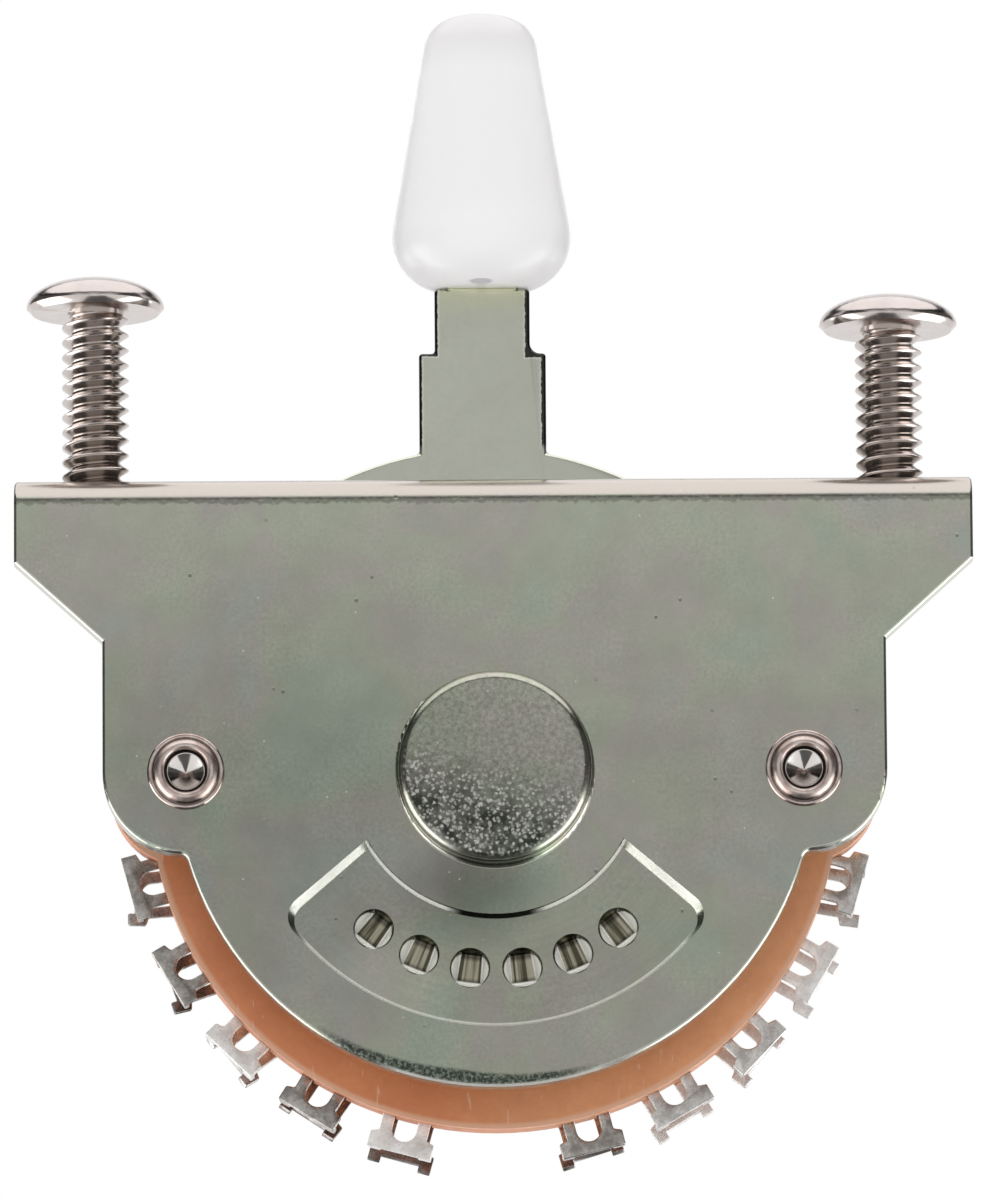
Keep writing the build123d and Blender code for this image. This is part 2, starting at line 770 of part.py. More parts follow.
# Lugs: spring finger over the rotor, body on the wafer's back, tab through it, two legs that
# step into the rim's notches round a solder eye, and a winged crossbar with two feet. The front
# wafer's lugs have their feet folded back, and the rear wafer's have them straight.
lugs = {}
for kind, layer, finger_tip in (
    ("throw", "front", throw_finger),
    ("throw", "rear", throw_finger),
    ("common", "front", common_finger),
    ("common", "rear", common_finger),
):
    folded = layer == "front"
    end = folded_end if folded else lug_end
    with BuildPart() as lug:
        depth = front_wafer_depth
        body = depth + wafer_thickness
        finger = body + blade_thickness + contact_gap
        leg = body - leg_inset
        with BuildSketch(side_plane):
            with BuildLine():
                Polyline(
                    (finger_tip, finger),
                    (finger_rise_end, finger),
                    (finger_rise_start, body),
                    (leg_bend_start, body),
                    (leg_bend_end, leg),
                    (end, leg),
                    (end, leg + lug_sheet),
                    (leg_bend_end, leg + lug_sheet),
                    (leg_bend_start, body + lug_sheet),
                    (finger_rise_start, body + lug_sheet),
                    (finger_rise_end, finger + lug_sheet),
                    (finger_tip, finger + lug_sheet),
                    close=True,
                )
            make_face()
        extrude(amount=wing_width / 2, both=True)
        with BuildSketch(lug_plane(0)):
            with BuildLine():
                Polyline(
                    (finger_tip, 0),
                    (finger_tip, finger_width / 2),
                    (finger_root - (lug_width - finger_width) / 2, finger_width / 2),
                    (finger_root, lug_width / 2),
                    (wing_start, lug_width / 2),
                    (wing_start + wing_rise, wing_width / 2),
                    (end, wing_width / 2),
                    (end, 0),
                )
                mirror(about=Plane.XZ)
            make_face()
            if not folded:
                with Locations((end, 0)):
                    Rectangle(
                        foot_height,
                        wing_width - 2 * foot_width,
                        align=(Align.MAX, Align.CENTER),
                        mode=Mode.SUBTRACT,
                    )
            with Locations((eye_start, 0)):
                Rectangle(
                    eye_end - eye_width / 2 - eye_start,
                    eye_width,
                    align=(Align.MIN, Align.CENTER),
                    mode=Mode.SUBTRACT,
                )
            with Locations((eye_end - eye_width / 2, 0)):
                Circle(eye_width / 2, mode=Mode.SUBTRACT)
        extrude(amount=-(finger + 2 * lug_sheet), mode=Mode.INTERSECT)
        with BuildSketch(side_plane):
            with BuildLine():
                hook_front = depth - tab_gap - lug_sheet
                Polyline(
                    (tab_circle, body + lug_sheet / 2),
                    (tab_circle, hook_front),
                    (tab_circle + tab_hook, hook_front),
                    (tab_circle + tab_hook, hook_front + lug_sheet),
                    (tab_circle + lug_sheet, hook_front + lug_sheet),
                    (tab_circle + lug_sheet, body + lug_sheet / 2),
                    close=True,
                )
            make_face()
        extrude(amount=tab_width / 2, both=True)
        if folded:
            with BuildSketch(lug_plane(0).offset(-leg)):
                foot_middle = (wing_width - foot_width) / 2
                with Locations((end, -foot_middle), (end, foot_middle)):
                    Rectangle(lug_sheet, foot_width, align=(Align.MAX, Align.CENTER))
            extrude(amount=-foot_fold)
    lugs[kind, layer] = lug.part

for layer, back in (("front", 0), ("rear", wafer_pitch)):
    for side, sense in (("left", 1), ("right", -1)):
        for number, angle in enumerate(lug_angles, start=1):
            kind = "common" if angle == common_angle else "throw"
            name = f"{layer}_{kind}_lug_{side}" + (f"_{number}" if kind == "throw" else "")
            with BuildPart() as placed:
                master = lugs[kind, layer].rotate(pivot, sense * angle)
                add(master.moved(Location((0, back, 0))))
            placed.part.label = name
            export_step(placed.part, f"parts/{name}.step")
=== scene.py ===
import json
from math import cos, pi, radians, sin

import bmesh
import bpy
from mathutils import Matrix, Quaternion, Vector


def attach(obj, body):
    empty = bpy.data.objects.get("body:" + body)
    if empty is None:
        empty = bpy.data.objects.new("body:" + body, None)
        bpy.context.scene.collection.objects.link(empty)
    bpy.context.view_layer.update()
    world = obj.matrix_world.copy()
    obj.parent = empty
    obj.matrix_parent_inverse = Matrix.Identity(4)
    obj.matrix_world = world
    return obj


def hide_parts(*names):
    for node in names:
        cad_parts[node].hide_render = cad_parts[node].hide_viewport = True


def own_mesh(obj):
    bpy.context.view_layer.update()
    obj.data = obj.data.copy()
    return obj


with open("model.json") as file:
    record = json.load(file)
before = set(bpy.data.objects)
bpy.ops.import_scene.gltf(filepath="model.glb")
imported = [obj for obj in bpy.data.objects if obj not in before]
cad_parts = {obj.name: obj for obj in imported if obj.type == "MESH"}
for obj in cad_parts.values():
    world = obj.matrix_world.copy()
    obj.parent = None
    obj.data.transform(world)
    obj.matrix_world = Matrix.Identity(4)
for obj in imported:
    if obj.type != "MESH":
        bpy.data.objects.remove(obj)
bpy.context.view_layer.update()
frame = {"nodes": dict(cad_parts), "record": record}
nodes = frame["nodes"]
record = frame["record"]
bodies = record["behaviour"]["bodies"]
body_of_node = {node: body for body, held in bodies.items() for node in held}
slot_of_node = {part["node"]: part["material_slot"] for part in record["subparts"]}
scene = bpy.context.scene

# Sizes of the part that the looks follow, in millimetres and degrees
MM = 0.001
PIVOT_DROP = 15.5
PLATE_FRONT = -4.0
PLATE_RADIUS = 16.5
CREASE_HEIGHT = 14.2
BOSS_RADIUS = 5.0
BOSS_RISE = 1.5
WINDOW_INNER = 7.7
WINDOW_OUTER = 13.2
DIMPLE_CIRCLE = 10.35
DIMPLE_STEP = 15.0
LEVER_X = -0.5
STEM_HALF = 3.3
NECK_HALF = 2.475
SHOULDER_TOP = 7.1
TIP_FOOT = 10.55
RIVET_X = 15.94
SCREW_X = 20.64
WAFER_RADIUS = 17.9
WAFER_FRONT = 5.4
PIVOT = Vector((0, 0, -PIVOT_DROP)) * MM


# Shader nodes
class Tree:
    """Adds nodes to a shader tree and links them."""

    def __init__(self, tree):
        self.nodes = tree.nodes
        self.links = tree.links

    def feed(self, socket, value):
        if isinstance(value, bpy.types.NodeSocket):
            self.links.new(value, socket)
        else:
            socket.default_value = value

    def math(self, operation, a, b=None, vector=False):
        node = self.nodes.new("ShaderNodeVectorMath" if vector else "ShaderNodeMath")
        node.operation = operation
        for socket, value in zip(node.inputs, (a, b)):
            if value is not None:
                self.feed(socket, value)
        return node.outputs[0]

    def chain(self, operation, first, *others):
        for other in others:
            first = self.math(operation, first, other)
        return first

    def add(self, *values):
        return self.chain("ADD", *values)

    def times(self, *values):
        return self.chain("MULTIPLY", *values)

    def most(self, *values):
        return self.chain("MAXIMUM", *values)

    def less(self, a, b):
        return self.math("SUBTRACT", a, b)

    def size(self, value):
        return self.math("ABSOLUTE", value)

    def split(self, vector):
        node = self.nodes.new("ShaderNodeSeparateXYZ")
        self.feed(node.inputs[0], vector)
        return node.outputs

    def combine(self, x, y, z):
        node = self.nodes.new("ShaderNodeCombineXYZ")
        for socket, value in zip(node.inputs, (x, y, z)):
            self.feed(socket, value)
        return node.outputs[0]

    def remap(self, value, low, high, to_low=0.0, to_high=1.0, smooth=False):
        node = self.nodes.new("ShaderNodeMapRange")
        node.interpolation_type = "SMOOTHSTEP" if smooth else "LINEAR"
        keys = ("Value", "From Min", "From Max", "To Min", "To Max")
        for key, v in zip(keys, (value, low, high, to_low, to_high)):
            self.feed(node.inputs[key], v)
        return node.outputs["Result"]

    def band(self, value, middle, start, full, last, end):
        """1 from middle + full to middle + last, and 0 outside middle + start and middle + end."""
        rise = self.remap(value, middle + start, middle + full)
        return self.times(rise, self.remap(value, middle + end, middle + last))

    def mix(self, factor, a, b, blend="MIX"):
        node = self.nodes.new("ShaderNodeMix")
        node.data_type = "RGBA"
        node.blend_type = blend
        self.feed(node.inputs["Factor"], factor)
        colours = [socket for socket in node.inputs if socket.type == "RGBA"]
        for socket, value in zip(colours, (a, b)):
            if not isinstance(value, bpy.types.NodeSocket):
                value = tuple(value) + (1,)
            self.feed(socket, value)
        return [socket for socket in node.outputs if socket.type == "RGBA"][0]

    def shaded(self, colour, value):
        return self.mix(1.0, colour, self.combine(value, value, value), "MULTIPLY")

    def seen_in(self, *rays):
        """1 for rays of these kinds, such as Is Camera Ray."""
        node = self.nodes.new("ShaderNodeLightPath")
        return self.most(*(node.outputs[name] for name in rays))

    def mixed_shader(self, factor, a, b):
        node = self.nodes.new("ShaderNodeMixShader")
        for socket, value in zip(node.inputs, (factor, a, b)):
            self.links.new(value, socket)
        return node.outputs[0]


class Finish(Tree):
    """A procedural material. Its textures are laid out in millimetres of the object."""

    def __init__(self, name):
        self.material = bpy.data.materials.new(name)
        self.material.use_nodes = True
        super().__init__(self.material.node_tree)
        self.shader = self.nodes["Principled BSDF"]
        place = self.nodes.new("ShaderNodeTexCoord").outputs["Object"]
        self.mm = self.math("MULTIPLY", place, (1 / MM, 1 / MM, 1 / MM), vector=True)

    def set(self, **values):
        for key, value in values.items():
            self.feed(self.shader.inputs[key.replace("_", " ")], value)

    def length(self, x, y, z):
        node = self.nodes.new("ShaderNodeVectorMath")
        node.operation = "LENGTH"
        self.feed(node.inputs[0], self.combine(x, y, z))
        return node.outputs["Value"]

    def moved(self, by):
        return self.math("ADD", self.mm, by, vector=True)

    def stretched(self, by):
        return self.math("MULTIPLY", self.mm, by, vector=True)

    def noise(self, scale, detail=3, roughness=0.55, where=None, distortion=0.0):
        node = self.nodes.new("ShaderNodeTexNoise")
        self.feed(node.inputs["Vector"], where or self.mm)
        node.inputs["Scale"].default_value = scale
        node.inputs["Detail"].default_value = detail
        node.inputs["Roughness"].default_value = roughness
        node.inputs["Distortion"].default_value = distortion
        return node.outputs["Fac"]

    def cells(self, scale, where=None):
        node = self.nodes.new("ShaderNodeTexVoronoi")
        self.feed(node.inputs["Vector"], where or self.mm)
        node.inputs["Scale"].default_value = scale
        return node.outputs["Distance"]

    def ramp(self, value, *stops):
        node = self.nodes.new("ShaderNodeValToRGB")
        self.feed(node.inputs[0], value)
        elements = node.color_ramp.elements
        while len(elements) < len(stops):
            elements.new(0.5)
        for element, (at, colour) in zip(elements, stops):
            element.position = at
            element.color = tuple(colour) + (1,)
        return node.outputs["Color"]

    def bump(self, height, strength, distance):
        """Adds relief on top of the relief that is there already. The distance is in millimetres."""
        node = self.nodes.new("ShaderNodeBump")
        node.inputs["Strength"].default_value = strength
        node.inputs["Distance"].default_value = distance * MM
        self.feed(node.inputs["Height"], height)
        before = self.shader.inputs["Normal"].links
        if before:
            self.links.new(before[0].from_socket, node.inputs["Normal"])
        self.links.new(node.outputs["Normal"], self.shader.inputs["Normal"])


class PivotPlace:
    """Where a point lies: across and up from the pivot's line, and in depth behind the plate's front."""

    def __init__(self, paint):
        self.paint = paint
        self.x, self.depth, self.z = paint.split(paint.moved((0, -PLATE_FRONT, PIVOT_DROP)))
        self.radius = paint.length(self.x, 0.0, self.z)


class PlatePlace(PivotPlace):
    """Also the angle from straight down in degrees, and 1 on the plate's front layer."""

    def __init__(self, paint):
        super().__init__(paint)
        down = paint.times(self.z, -1.0)
        self.turn = paint.times(paint.math("ARCTAN2", self.x, down), 180 / pi)
        self.off_middle = paint.size(self.turn)
        self.front = paint.remap(self.depth, 0.6, 0.3)

    def distance(self, x, z, squeeze=1.0):
        """Distance from a point of the plate. A squeeze above 1 lowers the round shape it gives."""
        up = self.paint.times(self.paint.add(self.z, -z), squeeze)
        return self.paint.length(self.paint.add(self.x, -x), 0.0, up)


def grey(value):
    return (value, value, value)


# Zinc-plated frame
def plating_and_shade(paint, at, fine):
    """Tint and wide tones: lighter along the bend, darker low on the left, and painted shade under the
    boss.
    """
    tint = paint.ramp(
        paint.noise(0.16, 2, 0.5, distortion=0.6),
        (0.30, (0.43, 0.487, 0.40)),
        (0.45, (0.46, 0.484, 0.390)),
        (0.55, (0.472, 0.458, 0.405)),
        (0.70, (0.44, 0.474, 0.415)),
    )
    low_left = at.distance(-11.0, -2.5)
    under_boss = at.distance(-1.2, -6.2857, squeeze=1.4)
    pale_in_window = paint.remap(at.distance(-5.8, -11.7), 4.0, 1.5)
    rough_zone = paint.remap(paint.noise(0.22, 2), 0.44, 0.60, 0.35, 1.0)
    tone = paint.add(
        paint.remap(at.z, 8.5, 14.5, 0.0, 0.10),
        paint.remap(at.z, 1.5, 7.0, 0.0, 0.11),
        paint.remap(at.x, -20.0, 20.0, -0.03, 0.03),
        paint.remap(low_left, 4.0, 15.0, -0.15, 0.0),
        # painted shade under the boss
        paint.remap(under_boss, 1.2, 4.6, -0.40, 0.0),
        paint.times(pale_in_window, paint.remap(at.depth, 0.35, 0.42, 0.0, 0.24)),
        paint.remap(paint.noise(0.45, 3, 0.6), 0.3, 0.7, 0.93, 1.05),
        paint.times(paint.remap(fine, 0.3, 0.7, -0.12, 0.12), rough_zone),
    )
    return paint.shaded(tint, tone)


def flange_light_and_crease_shade(paint, at, colour):
    """The flange painted paler, as painted light from above, and the rough dark line of painted shade
    where the plate's face ends under it.
    """
    # painted light on the flange above the crease
    above = paint.remap(at.z, CREASE_HEIGHT, CREASE_HEIGHT + 0.4)
    colour = paint.mix(above, colour, (0.53, 0.49, 0.445))
    # painted shade along the crease
    ragged = paint.add(at.z, paint.remap(paint.noise(2.2, 3, 0.7), 0.3, 0.7, -0.12, 0.12))
    crease = paint.band(ragged, CREASE_HEIGHT, -0.18, -0.08, 0.04, 0.14)
    return paint.mix(paint.times(crease, at.front, 0.45), colour, (0.12, 0.12, 0.10))


def boss_face(paint, at, on_boss, colour):
    """An even grain above and painted shade low down. Also gives pale specks lying on that shaded
    ground, painted as highlights.
    """
    # painted shade over the boss's lower part
    low = paint.remap(paint.add(at.z, paint.times(at.x, 0.25)), 0.8, -2.7)
    low = paint.times(low, paint.remap(paint.noise(0.9, 3, 0.7), 0.35, 0.60, 0.45, 1.0))
    grain = paint.remap(paint.noise(4.2, 3, 0.75), 0.36, 0.64, -0.27, 0.13)
    colour = paint.shaded(colour, paint.add(paint.times(grain, on_boss), 1.0))
    colour = paint.mix(paint.times(on_boss, low, 0.97), colour, (0.045, 0.05, 0.04))
    # pale specks on the shaded part, painted as highlights
    shift_x = paint.times(paint.noise(4.0, 1), 0.22)
    shift_z = paint.times(paint.noise(4.0, 1, where=paint.moved((7, 0, 3))), 0.22)
    cells = paint.cells(4.6, paint.moved(paint.combine(shift_x, 0.0, shift_z)))
    reach = paint.remap(paint.noise(2.6, 3, 0.7), 0.35, 0.65, 0.42, 0.62)
    grit_highlights = paint.remap(paint.less(reach, cells), 0.0, 0.24)
    patchy = paint.remap(paint.noise(3.3, 2, 0.6), 0.35, 0.62, 0.30, 1.0)
    return colour, paint.times(grit_highlights, patchy, on_boss, paint.remap(low, 0.05, 0.5))


def window_floor_shade(paint, at, in_window, colour):
    """Painted shade on the sunk floor, streaked round the pivot."""
    sunk = paint.times(paint.remap(at.depth, 0.35, 0.42), at.front)
    arcs = paint.combine(paint.times(at.radius, 5.0), paint.times(at.turn, 0.03), 0.0)
    streaked_shade = paint.remap(paint.noise(1.0, 3, 0.6, arcs), 0.35, 0.65, 0.12, 0.34)
    return paint.mix(paint.times(sunk, in_window, streaked_shade), colour, (0.24, 0.23, 0.18))


def dimples(paint, at, in_window, colour):
    """Painted shade on the streaked floors and round the rims. Also gives the painted highlights on
    their sides.
    """
    pitch = radians(DIMPLE_STEP) * DIMPLE_CIRCLE
    step = paint.math("DIVIDE", at.turn, DIMPLE_STEP)
    beside = paint.size(paint.times(paint.less(paint.math("FRACT", step), 0.5), pitch))
    outward = paint.less(at.radius, DIMPLE_CIRCLE)
    along = paint.size(outward)
    from_middle = paint.length(beside, along, 0.0)
    sunk = paint.times(
        paint.remap(at.depth, 0.48, 0.52), in_window, paint.remap(at.depth, 1.35, 1.25)
    )
    # painted shade on the sunk floors, broken into streaks
    floor = paint.times(sunk, paint.remap(at.depth, 0.9, 1.05), paint.remap(at.depth, 1.3, 1.2))
    rays = paint.combine(paint.times(at.turn, 0.9), paint.times(at.radius, 0.15), 0.0)
    lines = paint.remap(paint.noise(1.0, 2, 0.5, rays), 0.40, 0.60)
    strips = paint.mix(lines, (0.10, 0.095, 0.06), (0.50, 0.47, 0.36))
    strips = paint.shaded(strips, paint.remap(along, 0.42, 0.62, 1.0, 0.35))
    colour = paint.mix(floor, colour, strips)
    # painted shade round the rims
    rim_shade = paint.times(sunk, paint.remap(from_middle, 0.90, 0.98), 0.8)
    colour = paint.mix(rim_shade, colour, (0.05, 0.052, 0.04))
    # painted highlights on the sides
    flank_highlight = paint.most(paint.remap(beside, 0.55, 0.61), paint.remap(outward, 0.62, 0.70))
    return colour, paint.times(sunk, flank_highlight, paint.remap(from_middle, 0.99, 0.93))


def window_lips(paint, at, colour):
    """Painted shadow on the upper lip. Also gives the painted highlights: light lines along both edges
    of the window and the bright end walls.
    """
    on_lip = paint.band(at.depth, 0.0, 0.0, 0.03, 0.47, 0.50)
    # painted highlight along the lower lip
    lower = paint.band(at.radius, WINDOW_OUTER, -0.08, 0.0, 0.20, 0.26)
    lower = paint.times(lower, paint.remap(at.off_middle, 51.0, 47.0, 0.0, 0.75))
    # painted shadow along the upper lip
    dark = paint.band(at.radius, WINDOW_INNER, -0.25, -0.20, -0.02, 0.04)
    colour = paint.mix(paint.times(dark, on_lip, 0.9), colour, (0.04, 0.042, 0.034))
    # painted highlight along the upper lip
    upper = paint.band(at.radius, WINDOW_INNER, -0.17, -0.13, -0.03, 0.02)
    upper = paint.times(upper, paint.remap(at.off_middle, 13.0, 20.0))
    # painted highlights on the end walls
    wall = paint.times(
        paint.remap(at.depth, 0.43, 0.39),
        paint.remap(at.off_middle, 53.5, 54.5),
        paint.remap(at.radius, WINDOW_INNER + 0.1, WINDOW_INNER + 0.5),
        paint.remap(at.radius, WINDOW_OUTER - 0.3, WINDOW_OUTER - 0.6),
        0.75,
    )
    return colour, paint.times(paint.most(wall, lower, upper), on_lip)


def torn_edge(paint, at, colour):
    """Torn, dark stretch of the cut edge left of the lowest point. Also gives the painted highlight
    along the edge under it.
    """
    off_tear = paint.size(paint.add(at.turn, 8.0))
    edge = paint.less(at.radius, paint.times(off_tear, 0.016))
    ragged = paint.add(edge, paint.times(paint.noise(2.6, 3, 0.7), 0.9))
    torn = paint.times(
        paint.remap(edge, PLATE_RADIUS - 0.88, PLATE_RADIUS - 0.72),
        paint.remap(ragged, PLATE_RADIUS - 0.55, PLATE_RADIUS - 0.25, 0.25, 1.0),
        paint.remap(off_tear, 27.0, 20.0),
        at.front,
        0.9,
    )
    patches = paint.remap(paint.noise(4.5, 3, 0.75), 0.47, 0.60)
    patches = paint.mix(patches, (0.024, 0.030, 0.024), (0.27, 0.33, 0.27))
    # painted highlight along the cut edge
    edge_highlight = paint.times(
        paint.remap(at.radius, PLATE_RADIUS - 0.16, PLATE_RADIUS - 0.10),
        paint.remap(at.depth, 0.24, 0.18),
        paint.remap(at.off_middle, 24.0, 18.0, 0.0, 0.7),
    )
    return paint.mix(torn, colour, patches), edge_highlight


def zinc_finish():
    paint = Finish("zinc_plate")
    at = PlatePlace(paint)
    fine = paint.noise(5.0, 4, 0.7)
    on_boss = paint.times(
        paint.remap(at.radius, BOSS_RADIUS - 0.15, BOSS_RADIUS - 0.40),
        paint.remap(at.depth, 0.4 - BOSS_RISE, 0.15 - BOSS_RISE),
    )
    in_window = paint.times(
        paint.remap(at.radius, WINDOW_OUTER + 0.8, WINDOW_OUTER + 0.7),
        paint.remap(at.z, -2.0, -2.2),
    )
    pits = paint.times(
        paint.remap(paint.cells(0.75), 0.05, 0.09, 1.0, 0.0),
        paint.remap(paint.noise(0.5, 1), 0.56, 0.64),
    )
    # painted glints: small pale specks on the front
    elsewhere = paint.moved((5.3, 0, 2.9))
    glints = paint.times(
        paint.remap(paint.cells(1.15, elsewhere), 0.045, 0.075, 1.0, 0.0),
        paint.remap(paint.noise(0.45, 1, where=elsewhere), 0.50, 0.56),
        at.front,
        0.35,
    )
    colour = plating_and_shade(paint, at, fine)
    colour = flange_light_and_crease_shade(paint, at, colour)
    colour = paint.mix(paint.times(pits, 0.5), colour, grey(0.12))
    colour, grit_highlights = boss_face(paint, at, on_boss, colour)
    colour = window_floor_shade(paint, at, in_window, colour)
    colour, flank_highlights = dimples(paint, at, in_window, colour)
    colour, lip_highlights = window_lips(paint, at, colour)
    colour, edge_highlight = torn_edge(paint, at, colour)
    # painted highlights: what catches the light is painted pale and dull, so that it stays bright from
    # every side
    shine = paint.most(lip_highlights, flank_highlights, paint.times(grit_highlights, 0.55), edge_highlight, glints)
    paint.set(
        Base_Color=paint.mix(shine, colour, (0.93, 0.93, 0.86)),
        Metallic=paint.less(1.0, paint.times(shine, 0.9)),
        Roughness=paint.remap(fine, 0.3, 0.7, 0.17, 0.25),
    )
    paint.bump(paint.noise(11.0, 2, 0.6), 0.18, 0.006)
    paint.bump(paint.less(1.0, pits), 0.5, 0.03)
    paint.bump(paint.times(on_boss, paint.noise(4.2, 3, 0.75)), 0.35, 0.02)
    return paint.material


# Other finishes
def steel_finish(name, colour, dark, low, high, streak=(1, 1, 1)):
    """Plain metal with soft clouds and a few specks. Its roughness goes from low to high."""
    paint = Finish(name)
    fine = paint.noise(4.0, 4, 0.7, paint.stretched(streak))
    body = paint.mix(paint.remap(paint.noise(0.35, 3, 0.6), 0.35, 0.65, 0.0, 0.35), colour, dark)
    body = paint.mix(paint.remap(fine, 0.4, 0.72, 0.0, 0.35), body, dark)
    specks = paint.times(
        paint.remap(paint.cells(0.9), 0.05, 0.08, 0.7, 0.0),
        paint.remap(paint.noise(0.6, 1), 0.5, 0.58),
    )
    paint.set(
        Base_Color=paint.mix(specks, body, grey(0.06)),
        Metallic=1.0,
        Roughness=paint.remap(fine, 0.3, 0.7, low, high),
    )
    paint.bump(paint.noise(9.0, 3, 0.6, paint.stretched(streak)), 0.2, 0.008)
    return paint.material


def lug_finish(name, light, dark, metal):
    """Tinned brass with uneven, dull patches."""
    paint = Finish(name)
    fine = paint.noise(5.0, 3, 0.7)
    body = paint.mix(paint.remap(paint.noise(1.3, 3, 0.65), 0.42, 0.60), light, dark)
    body = paint.mix(paint.remap(fine, 0.45, 0.70, 0.0, 0.5), body, dark)
    paint.set(
        Base_Color=body, Metallic=metal, Roughness=paint.remap(fine, 0.3, 0.7, 0.22, 0.38)
    )
    paint.bump(paint.noise(3.0, 3, 0.6), 0.35, 0.03)
    return paint.material


def tip_finish():
    """White plastic with painted shade greyer at the crown and a little painted light near the foot, and
    a small grey painted shade where the slot sits at its foot.
    """
    paint = Finish("tip_plastic")
    x, y, z = paint.split(paint.mm)
    # painted shade towards the crown, painted light near the foot
    value = paint.times(
        paint.remap(z, 22.0, 25.3, 0.94, 0.77), paint.remap(z, 13.0, 15.5, 1.03, 1.0)
    )
    # painted shade of the slot
    slot_x = paint.times(paint.add(x, 0.55), 0.19)
    slot = paint.length(slot_x, 0.0, paint.less(z, TIP_FOOT + 0.11))
    slot = paint.times(paint.remap(slot, 0.13, 0.09, 0.0, 0.55), paint.remap(y, -0.5, -1.0))
    white = paint.combine(value, paint.times(value, 0.992), value)
    paint.set(
        Base_Color=paint.mix(slot, white, (0.35, 0.35, 0.40)),
        Roughness=0.28,
        Subsurface_Weight=0.35,
        Subsurface_Radius=(1.0, 1.0, 1.0),
        Subsurface_Scale=0.0012,
        Coat_Weight=0.25,
        Coat_Roughness=0.12,
    )
    return paint.material


def board_finish():
    """Brown board with a fibrous grain, redder to the left, with a painted highlight along the rim in
    front.
    """
    paint = Finish("phenolic_board")
    at = PivotPlace(paint)
    fibre = paint.noise(2.2, 4, 0.7)
    colour = paint.ramp(
        paint.noise(0.3, 3, 0.6),
        (0.30, (0.74, 0.320, 0.145)),
        (0.55, (0.81, 0.365, 0.165)),
        (0.75, (0.88, 0.415, 0.195)),
    )
    colour = paint.mix(paint.remap(fibre, 0.35, 0.70, 0.0, 0.22), colour, (0.55, 0.215, 0.10))
    across = paint.ramp(
        paint.remap(at.x, -10.0, 14.0),
        (0.0, (1.0, 0.785, 0.70)),
        (0.30, (1.0, 0.785, 0.70)),
        (0.45, (1.07, 1.01, 1.0)),
        (1.0, (1.12, 1.10, 1.10)),
    )
    colour = paint.mix(1.0, colour, across, "MULTIPLY")
    # painted highlight along the front rim
    rim = paint.times(
        paint.remap(at.radius, WAFER_RADIUS - 0.35, WAFER_RADIUS - 0.15),
        paint.remap(at.depth, WAFER_FRONT + 0.22, WAFER_FRONT + 0.10),
        0.75,
    )
    colour = paint.mix(rim, colour, (0.92, 0.56, 0.38))
    cut = paint.times(
        paint.remap(at.depth, WAFER_FRONT + 0.2, WAFER_FRONT + 0.4),
        paint.remap(at.radius, WAFER_RADIUS - 0.30, WAFER_RADIUS - 0.10),
        0.35,
    )
    colour = paint.mix(cut, colour, (0.45, 0.17, 0.08))
    long_marks = paint.noise(1.0, 2, 0.4, paint.stretched((3.0, 1.0, 0.6)), distortion=1.2)
    scratches = paint.times(paint.remap(long_marks, 0.68, 0.71), 0.4)
    paint.set(
        Base_Color=paint.mix(scratches, colour, (0.95, 0.68, 0.50)),
        Roughness=paint.remap(fibre, 0.3, 0.7, 0.34, 0.50),
    )
    paint.bump(fibre, 0.12, 0.012)
    return paint.material


def lever_finish():
    """Plated lever, yellower under the tip, with a painted dark reflection along the stem's edges and a
    painted highlight just inside it.
    """
    paint = Finish("lever_steel")
    x, y, z = paint.split(paint.mm)
    fine = paint.noise(4.0, 4, 0.7)
    tone = paint.add(
        paint.remap(paint.noise(0.3, 3, 0.6), 0.3, 0.7, 0.96, 1.04),
        paint.remap(fine, 0.3, 0.7, -0.03, 0.03),
    )
    colour = paint.shaded((0.665, 0.685, 0.585), tone)
    colour = paint.mix(paint.remap(z, 9.0, 10.4, 0.0, 0.6), colour, (0.76, 0.77, 0.50))
    side = paint.less(x, LEVER_X)
    out = paint.size(side)
    in_stem = paint.math("MINIMUM", paint.less(STEM_HALF, out), paint.less(SHOULDER_TOP, z))
    inside = paint.most(in_stem, paint.less(NECK_HALF, out))
    edge_width = paint.times(
        paint.remap(side, -0.2, 0.2, 0.17, 0.26), paint.remap(fine, 0.35, 0.65, 0.85, 1.12)
    )
    past_edge = paint.less(inside, edge_width)
    on_stem = paint.remap(z, 1.9, 2.3)
    # painted highlight inside the stem's edges, and painted dark reflection along them
    light = paint.times(paint.remap(past_edge, 0.10, 0.05), on_stem, 0.55)
    dark = paint.times(paint.remap(past_edge, 0.0, -0.03), on_stem, 0.95)
    colour = paint.mix(light, colour, (0.95, 0.95, 0.86))
    colour = paint.mix(dark, colour, (0.015, 0.017, 0.012))
    paint.set(
        Base_Color=colour, Metallic=1.0, Roughness=paint.remap(fine, 0.3, 0.7, 0.18, 0.26)
    )
    paint.bump(paint.noise(11.0, 2, 0.6), 0.15, 0.005)
    return paint.material


def screw_finish():
    """Nickel with brown painted shade in the thread, more of it towards the flange."""
    paint = Finish("screw_nickel")
    x, y, z = paint.split(paint.mm)
    radius = paint.length(paint.less(paint.size(x), SCREW_X), y, 0.0)
    clouds = paint.remap(paint.noise(0.6, 3, 0.6), 0.35, 0.65, 0.0, 0.4)
    colour = paint.mix(clouds, (0.62, 0.565, 0.54), (0.51, 0.455, 0.425))
    # painted shade in the thread's grooves
    groove = paint.band(radius, 0.0, 1.10, 1.20, 1.32, 1.62)
    thread_shade = paint.times(groove, paint.remap(z, 9.0, 1.0, 0.20, 0.70))
    paint.set(
        Base_Color=paint.mix(thread_shade, colour, (0.30, 0.235, 0.19)),
        Metallic=1.0,
        Roughness=paint.remap(paint.noise(4.0, 3), 0.3, 0.7, 0.14, 0.24),
    )
    paint.bump(paint.noise(5.0, 3, 0.6), 0.15, 0.012)
    return paint.material


